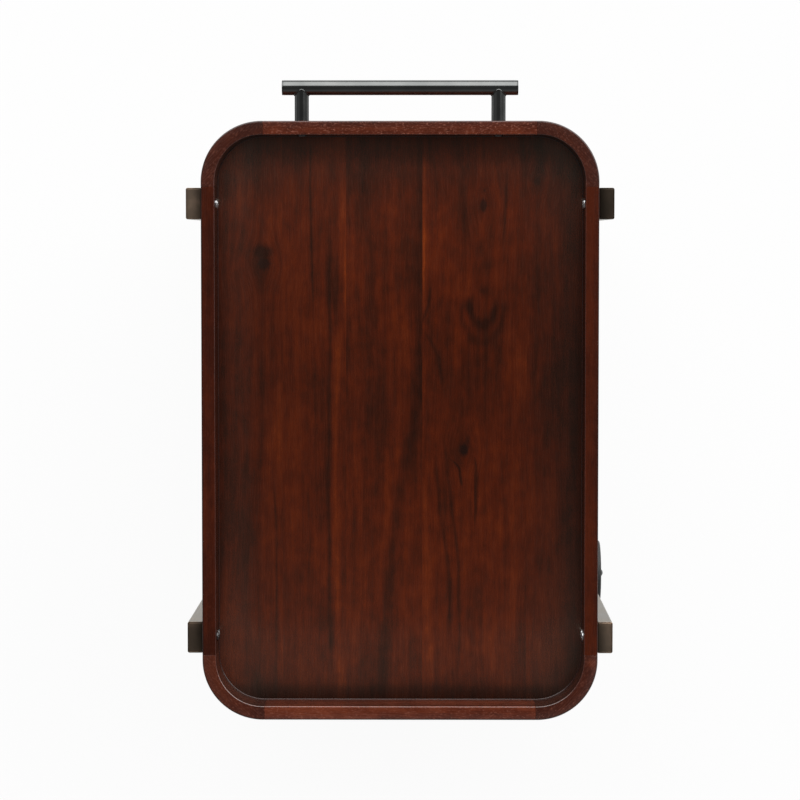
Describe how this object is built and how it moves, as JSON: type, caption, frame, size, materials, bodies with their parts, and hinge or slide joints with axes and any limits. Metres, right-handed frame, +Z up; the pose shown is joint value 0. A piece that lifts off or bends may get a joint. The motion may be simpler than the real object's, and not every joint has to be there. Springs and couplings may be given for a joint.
{
  "type": "bar cart",
  "caption": "Serving cart with a deep wooden tray at the top and another below, flat steel legs, a pull bar at one end and wheels on an axle at the other.",
  "frame": {"origin": "on the floor, in the middle of the cart's outline seen from above", "axes": "+Z up, +Y towards the handle end, +X towards the right-hand side seen from the wheel end"},
  "size_m": [0.6172, 0.8144, 0.838],
  "materials": {
    "rail_wood": "red-brown stain under satin lacquer",
    "corner_wood": "red-brown stain under satin lacquer",
    "panel_wood": "dark red-brown stain under satin lacquer, lively grain",
    "key_wood": "bare hardwood",
    "leg_steel": "dark bronze grey, satin",
    "handle_steel": "dark gunmetal, half gloss",
    "zinc_steel": "bright zinc plate",
    "plug_plastic": "moulded, fine matt",
    "nylon": "natural nylon",
    "hub_plastic": "moulded, satin",
    "tyre_rubber": "smooth matt rubber"
  },
  "bodies": {
    "cart_frame": {"top_rail_handle_end": "rail_wood", "top_rail_wheel_end": "rail_wood", "top_rail_left": "rail_wood", "top_rail_right": "rail_wood", "top_corner_handle_left": "corner_wood", "top_corner_handle_right": "corner_wood", "top_corner_wheel_left": "corner_wood", "top_corner_wheel_right": "corner_wood", "top_board_1": "panel_wood", "top_board_2": "panel_wood", "top_board_3": "panel_wood", "top_board_4": "panel_wood", "top_board_5": "panel_wood", "top_corner_keys": "key_wood", "lower_rail_handle_end": "rail_wood", "lower_rail_wheel_end": "rail_wood", "lower_rail_left": "rail_wood", "lower_rail_right": "rail_wood", "lower_corner_handle_left": "corner_wood", "lower_corner_handle_right": "corner_wood", "lower_corner_wheel_left": "corner_wood", "lower_corner_wheel_right": "corner_wood", "lower_board_1": "panel_wood", "lower_board_2": "panel_wood", "lower_board_3": "panel_wood", "lower_board_4": "panel_wood", "lower_board_5": "panel_wood", "lower_corner_keys": "key_wood", "leg_handle_left": "leg_steel", "leg_handle_right": "leg_steel", "leg_wheel_left": "leg_steel", "leg_wheel_right": "leg_steel", "leg_caps": "leg_steel", "glide_left": "plug_plastic", "glide_right": "plug_plastic", "leg_plug_left": "plug_plastic", "leg_plug_right": "plug_plastic", "top_leg_screws": "zinc_steel", "lower_leg_screws": "zinc_steel", "handle_screws": "zinc_steel", "top_leg_nuts": "zinc_steel", "lower_leg_nuts": "zinc_steel", "axle": "zinc_steel", "leg_washers": "zinc_steel", "handle_bar": "handle_steel", "handle_post_left": "handle_steel", "handle_post_right": "handle_steel", "handle_bar_caps": "handle_steel", "nut_washers": "handle_steel", "cap_nut_left": "handle_steel", "cap_nut_right": "handle_steel", "axle_bush_left": "nylon", "axle_bush_right": "nylon"},
    "wheel_left": {"wheel_hub_left": "hub_plastic", "hub_sleeve_left": "nylon", "tyre_left": "tyre_rubber"},
    "wheel_right": {"wheel_hub_right": "hub_plastic", "hub_sleeve_right": "nylon", "tyre_right": "tyre_rubber"}
  },
  "joints": [
    {"name": "wheel_left_spin", "type": "hinge", "parent": "cart_frame", "child": "wheel_left", "pos_m": [-0.2893, -0.31125, 0.051], "axis": [1, 0, 0], "continuous": true},
    {"name": "wheel_right_spin", "type": "hinge", "parent": "cart_frame", "child": "wheel_right", "pos_m": [0.2893, -0.31125, 0.051], "axis": [1, 0, 0], "continuous": true}
  ]
}
